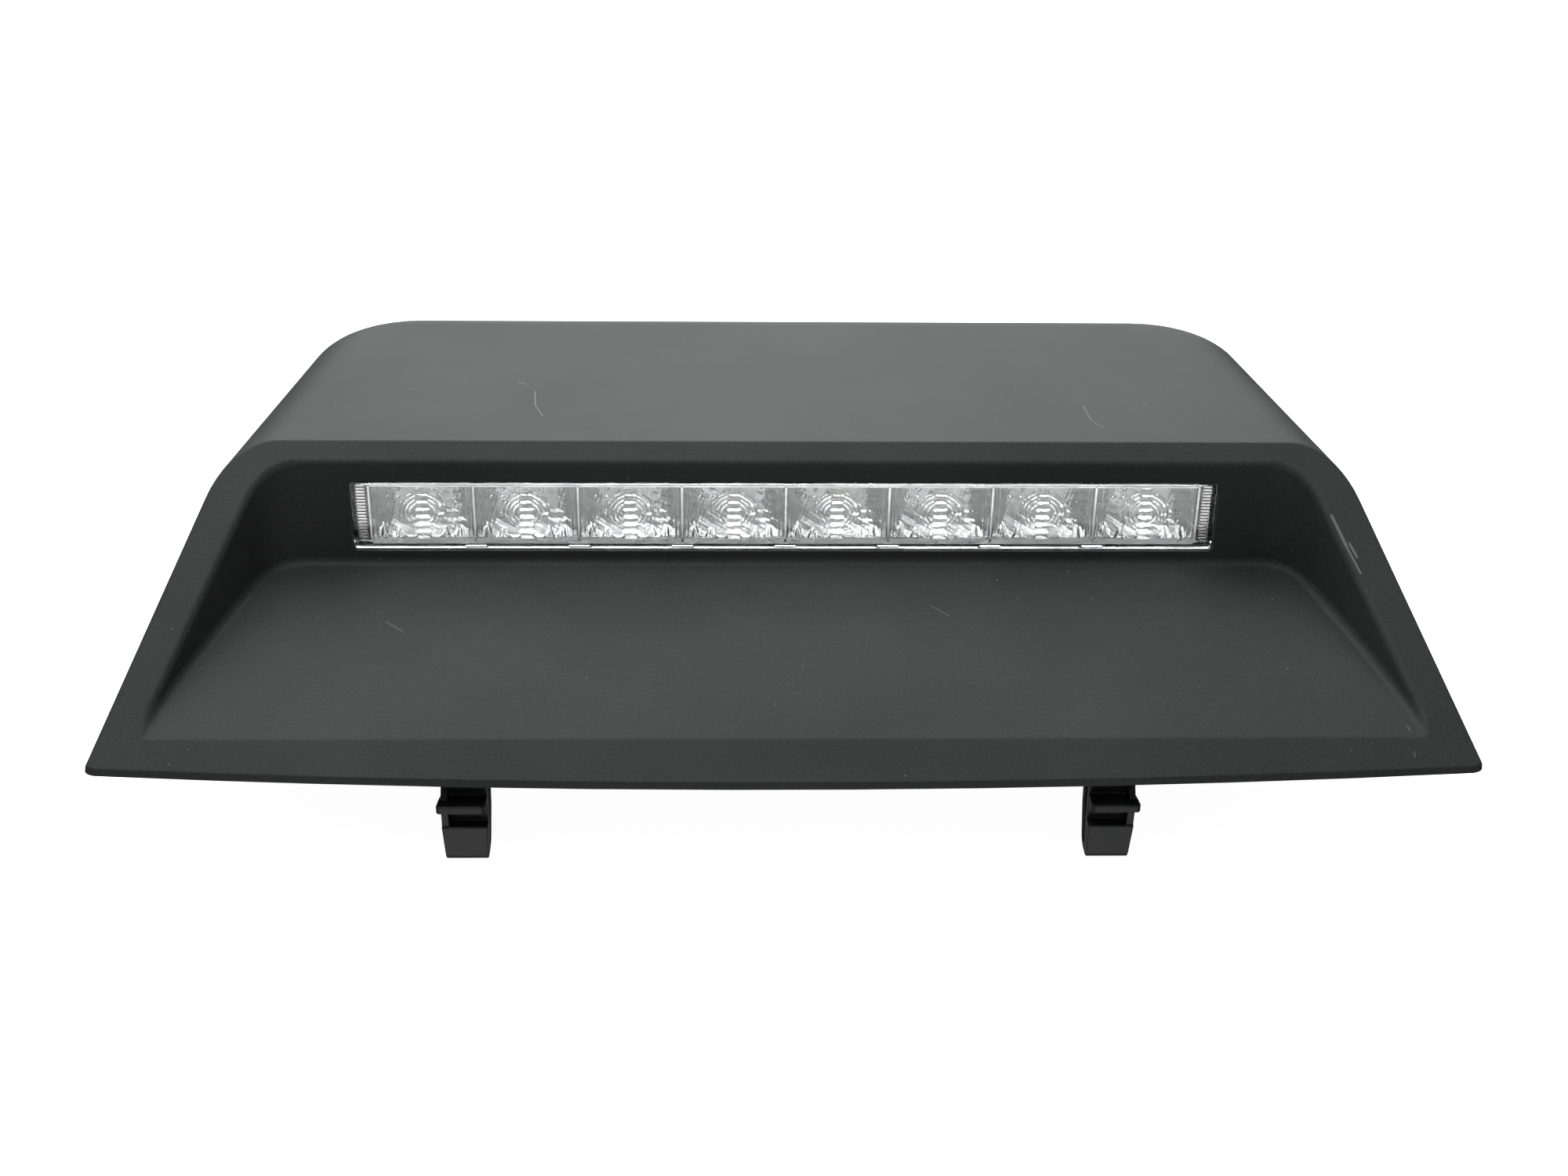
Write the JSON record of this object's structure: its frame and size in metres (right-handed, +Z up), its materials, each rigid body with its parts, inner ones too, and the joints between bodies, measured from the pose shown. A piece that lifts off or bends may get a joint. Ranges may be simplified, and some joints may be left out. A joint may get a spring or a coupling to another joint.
{
  "type": "third brake light",
  "caption": "High-mount stop lamp: low charcoal hood with a recessed clear lens over a row of diodes, and two snap latches under its front lip.",
  "frame": {"origin": "middle of the front lip, on the line joining its two front corners, at the level of the shelf the hood stands on", "axes": "+X towards the lamp's right as seen facing its lens, +Y towards the hood's rear, +Z up"},
  "size_m": [0.3114, 0.1658, 0.0785],
  "materials": {
    "cover_abs": "fine-grained charcoal moulding",
    "housing_plastic": "plain black moulding",
    "clear_lens": "clear polished moulding",
    "foam": "closed-cell foam",
    "inner_lens": "clear fluted moulding",
    "bright_reflector": "vacuum-metallised moulding",
    "board": "solder-masked glass-epoxy laminate",
    "led_ceramic": "moulded white package",
    "led_silicone": "clear dome",
    "chip_black": "fired chip with tinned ends",
    "diode_epoxy": "moulded epoxy",
    "regulator_epoxy": "moulded epoxy",
    "capacitor_can": "drawn can",
    "connector_plastic": "natural nylon moulding",
    "pin_tin": "tin-plated",
    "screw_steel": "zinc-plated",
    "board_screw_steel": "zinc-plated",
    "clip_nylon": "smooth black moulding",
    "tongue_nylon": "smooth black moulding",
    "clip_nylon_right": "smooth black moulding",
    "tongue_nylon_right": "smooth black moulding"
  },
  "bodies": {
    "lamp": {"cover": "cover_abs", "lamp_housing": "housing_plastic", "outer_lens": "clear_lens", "lens_seal": "foam", "optic_bar": "inner_lens", "reflector": "bright_reflector", "circuit_board": "board", "led_bodies": "led_ceramic", "led_domes": "led_silicone", "chip_resistors": "chip_black", "protection_diode": "diode_epoxy", "regulator": "regulator_epoxy", "capacitor": "capacitor_can", "connector_socket": "connector_plastic", "connector_pins": "pin_tin", "housing_screws": "screw_steel", "board_screws": "board_screw_steel", "left_clip": "clip_nylon", "right_clip": "clip_nylon_right"},
    "left_latch": {"left_clip_tongue": "tongue_nylon"},
    "right_latch": {"right_clip_tongue": "tongue_nylon_right"}
  },
  "joints": [
    {"name": "left_latch_flex", "type": "hinge", "parent": "lamp", "child": "left_latch", "pos_m": [-0.073, 0.005, -0.0223], "axis": [-1, 0, 0], "range_deg": [0, 7], "stiffness_Nm_per_rad": 0.6},
    {"name": "right_latch_flex", "type": "hinge", "parent": "lamp", "child": "right_latch", "pos_m": [0.073, 0.005, -0.0223], "axis": [-1, 0, 0], "range_deg": [0, 7], "stiffness_Nm_per_rad": 0.6}
  ]
}
